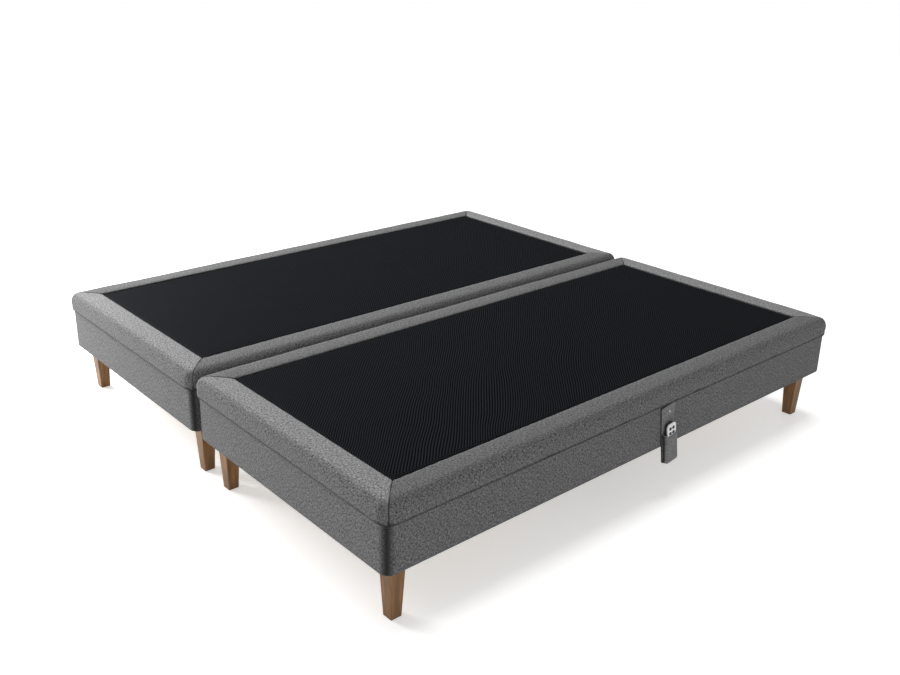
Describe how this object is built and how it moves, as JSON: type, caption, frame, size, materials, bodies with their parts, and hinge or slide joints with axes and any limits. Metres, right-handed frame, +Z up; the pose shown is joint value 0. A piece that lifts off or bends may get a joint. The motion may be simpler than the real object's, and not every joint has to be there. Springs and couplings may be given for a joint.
{
  "type": "adjustable bed base",
  "caption": "Split adjustable bed base: upholstered platform units side by side on tapered wooden legs, with motor-raised back and leg sections and a handset in a side pouch.",
  "frame": {"origin": "centre of the base's footprint box, at floor level", "axes": "+X to the right seen from the foot end, +Y towards the head end, +Z up"},
  "size_m": [1.9594, 2.03, 0.38],
  "materials": {
    "cover_fabric": "woven grey linen-look upholstery cloth",
    "mesh_fabric": "black ribbed non-slip mesh",
    "frame_wood": "planed pine, unfinished",
    "leg_wood": "oiled walnut-brown hardwood, satin",
    "plywood": "birch plywood, unfinished",
    "black_steel": "black powder coat",
    "bright_steel": "zinc-plated steel",
    "black_plastic": "fine-grained black plastic",
    "light_plastic": "smooth light grey plastic",
    "button_rubber": "soft black rubber"
  },
  "bodies": {
    "base": {"left_box_frame": "frame_wood", "left_box_cover": "cover_fabric", "left_leg_foot_left": "leg_wood", "left_leg_foot_right": "leg_wood", "left_leg_head_left": "leg_wood", "left_leg_head_right": "leg_wood", "left_seat_board": "plywood", "left_seat_pad": "mesh_fabric", "left_back_drive": "black_plastic", "left_thigh_drive": "black_plastic", "left_back_crossbar": "black_steel", "left_thigh_crossbar": "black_steel", "left_control_box": "black_plastic", "left_wiring": "black_plastic", "right_box_frame": "frame_wood", "right_box_cover": "cover_fabric", "right_leg_foot_left": "leg_wood", "right_leg_foot_right": "leg_wood", "right_leg_head_left": "leg_wood", "right_leg_head_right": "leg_wood", "right_seat_board": "plywood", "right_seat_pad": "mesh_fabric", "right_back_drive": "black_plastic", "right_thigh_drive": "black_plastic", "right_back_crossbar": "black_steel", "right_thigh_crossbar": "black_steel", "right_control_box": "black_plastic", "right_wiring": "black_plastic", "joining_strip": "bright_steel", "handset_pouch": "cover_fabric"},
    "left_back_section": {"left_back_board": "plywood", "left_back_pad": "mesh_fabric", "left_back_lift_frame": "black_steel"},
    "left_thigh_section": {"left_thigh_board": "plywood", "left_thigh_pad": "mesh_fabric", "left_thigh_lift_frame": "black_steel", "left_knee_hinge_thigh_leaf": "bright_steel"},
    "left_calf_section": {"left_calf_board": "plywood", "left_calf_pad": "mesh_fabric", "left_knee_hinge_calf_leaf": "bright_steel"},
    "left_back_rod": {"left_back_drive_rod": "bright_steel"},
    "left_thigh_rod": {"left_thigh_drive_rod": "bright_steel"},
    "right_back_section": {"right_back_board": "plywood", "right_back_pad": "mesh_fabric", "right_back_lift_frame": "black_steel"},
    "right_thigh_section": {"right_thigh_board": "plywood", "right_thigh_pad": "mesh_fabric", "right_thigh_lift_frame": "black_steel", "right_knee_hinge_thigh_leaf": "bright_steel"},
    "right_calf_section": {"right_calf_board": "plywood", "right_calf_pad": "mesh_fabric", "right_knee_hinge_calf_leaf": "bright_steel"},
    "right_back_rod": {"right_back_drive_rod": "bright_steel"},
    "right_thigh_rod": {"right_thigh_drive_rod": "bright_steel"},
    "handset": {"handset_case": "black_plastic", "handset_face": "light_plastic"},
    "button_back_up": {"button_back_up": "button_rubber"},
    "button_legs_up": {"button_legs_up": "button_rubber"},
    "button_back_down": {"button_back_down": "button_rubber"},
    "button_legs_down": {"button_legs_down": "button_rubber"}
  },
  "joints": [
    {"name": "left_back_lift", "type": "hinge", "parent": "base", "child": "left_back_section", "pos_m": [-0.49725, 0.225, 0.297], "axis": [1, 0, 0], "range_deg": [0, 60]},
    {"name": "left_thigh_lift", "type": "hinge", "parent": "base", "child": "left_thigh_section", "pos_m": [-0.49725, -0.127, 0.297], "axis": [-1, 0, 0], "range_deg": [0, 35]},
    {"name": "left_knee_fold", "type": "hinge", "parent": "left_thigh_section", "child": "left_calf_section", "pos_m": [-0.49725, -0.445, 0.311], "axis": [1, 0, 0], "range_deg": [0, 53.4]},
    {"name": "left_back_rod_travel", "type": "slide", "parent": "base", "child": "left_back_rod", "axis": [0, 1, 0], "range_m": [0, 0.09]},
    {"name": "left_thigh_rod_travel", "type": "slide", "parent": "base", "child": "left_thigh_rod", "axis": [0, -1, 0], "range_m": [0, 0.0542]},
    {"name": "right_back_lift", "type": "hinge", "parent": "base", "child": "right_back_section", "pos_m": [0.48375, 0.225, 0.297], "axis": [1, 0, 0], "range_deg": [0, 60]},
    {"name": "right_thigh_lift", "type": "hinge", "parent": "base", "child": "right_thigh_section", "pos_m": [0.48375, -0.127, 0.297], "axis": [-1, 0, 0], "range_deg": [0, 35]},
    {"name": "right_knee_fold", "type": "hinge", "parent": "right_thigh_section", "child": "right_calf_section", "pos_m": [0.48375, -0.445, 0.311], "axis": [1, 0, 0], "range_deg": [0, 53.4]},
    {"name": "right_back_rod_travel", "type": "slide", "parent": "base", "child": "right_back_rod", "axis": [0, 1, 0], "range_m": [0, 0.09]},
    {"name": "right_thigh_rod_travel", "type": "slide", "parent": "base", "child": "right_thigh_rod", "axis": [0, -1, 0], "range_m": [0, 0.0542]},
    {"name": "handset_lift_out", "type": "slide", "parent": "base", "child": "handset", "axis": [0, -0.1392, 0.9903], "range_m": [0, 0.102]},
    {"name": "press_back_up", "type": "slide", "parent": "handset", "child": "button_back_up", "axis": [-1, 0, 0], "range_m": [0, 0.001], "stiffness_N_per_m": 400},
    {"name": "press_legs_up", "type": "slide", "parent": "handset", "child": "button_legs_up", "axis": [-1, 0, 0], "range_m": [0, 0.001], "stiffness_N_per_m": 400},
    {"name": "press_back_down", "type": "slide", "parent": "handset", "child": "button_back_down", "axis": [-1, 0, 0], "range_m": [0, 0.001], "stiffness_N_per_m": 400},
    {"name": "press_legs_down", "type": "slide", "parent": "handset", "child": "button_legs_down", "axis": [-1, 0, 0], "range_m": [0, 0.001], "stiffness_N_per_m": 400}
  ],
  "couplings": [
    {"joint": "left_knee_fold", "follows": "left_thigh_lift", "ratio": 1.525},
    {"joint": "left_back_rod_travel", "follows": "left_back_lift", "m_per_rad": 0.0859},
    {"joint": "left_thigh_rod_travel", "follows": "left_thigh_lift", "m_per_rad": 0.0886},
    {"joint": "right_knee_fold", "follows": "right_thigh_lift", "ratio": 1.525},
    {"joint": "right_back_rod_travel", "follows": "right_back_lift", "m_per_rad": 0.0859},
    {"joint": "right_thigh_rod_travel", "follows": "right_thigh_lift", "m_per_rad": 0.0886}
  ]
}
